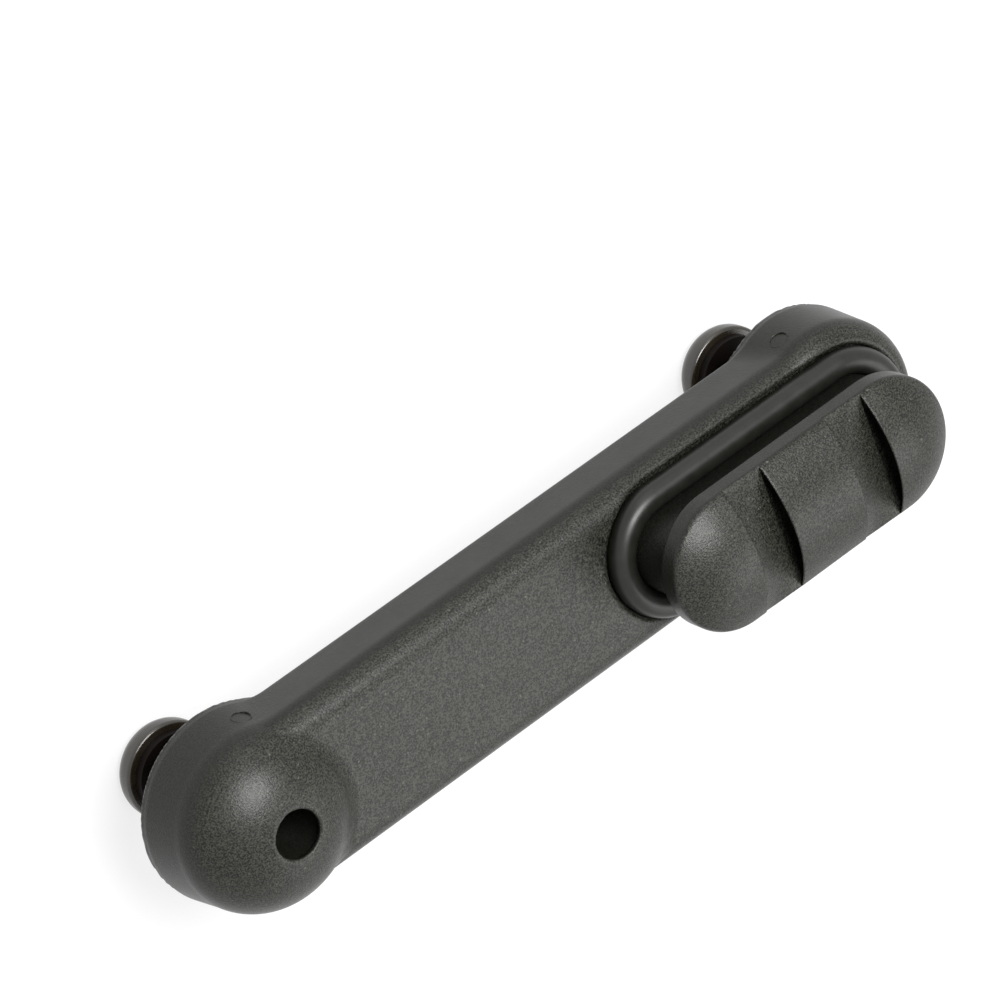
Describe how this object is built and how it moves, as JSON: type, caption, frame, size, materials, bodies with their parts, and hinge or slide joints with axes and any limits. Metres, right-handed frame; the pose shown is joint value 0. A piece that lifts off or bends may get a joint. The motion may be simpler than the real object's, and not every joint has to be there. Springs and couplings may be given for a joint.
{
  "type": "bottle cage mount",
  "caption": "Moulded arm that carries a bottle cage on bolts through its back and clips into a clamp by the crowned, notched coupling head on its front.",
  "frame": {"origin": "midway between the two bolt axes, on the back seats of the arm where the bottle cage lies", "axes": "+X along the arm from the domed end to the coupling end, +Z the front normal, bolt heads towards -Z, +Y completes a right-handed frame across the arm"},
  "size_m": [0.0811, 0.0176, 0.0291],
  "materials": {
    "moulding": "spark-eroded matte charcoal",
    "rubber": "smooth satin black",
    "black_steel": "blackened steel, glossy rim",
    "brown_steel": "browned steel"
  },
  "bodies": {
    "arm": {"arm": "moulding", "neck_ring": "rubber"},
    "lower_washer": {"lower_washer": "brown_steel"},
    "lower_bolt": {"lower_cage_bolt": "black_steel"},
    "upper_washer": {"upper_washer": "brown_steel"},
    "upper_bolt": {"upper_cage_bolt": "black_steel"}
  },
  "joints": [
    {"name": "lower_washer_slide", "type": "slide", "parent": "arm", "child": "lower_washer", "axis": [0, 0, 1], "range_m": [-0.0024, 0.0064]},
    {"name": "lower_bolt_turn", "type": "hinge", "parent": "lower_washer", "child": "lower_bolt", "pos_m": [-0.032, 0, 0], "axis": [0, 0, 1], "range_deg": [-1081, 2881]},
    {"name": "upper_washer_slide", "type": "slide", "parent": "arm", "child": "upper_washer", "axis": [0, 0, 1], "range_m": [-0.0024, 0.0064]},
    {"name": "upper_bolt_turn", "type": "hinge", "parent": "upper_washer", "child": "upper_bolt", "pos_m": [0.032, 0, 0], "axis": [0, 0, 1], "range_deg": [-1081, 2881]}
  ],
  "couplings": [
    {"joint": "lower_bolt_turn", "follows": "lower_washer_slide", "rad_per_m": 7854},
    {"joint": "upper_bolt_turn", "follows": "upper_washer_slide", "rad_per_m": 7854}
  ]
}
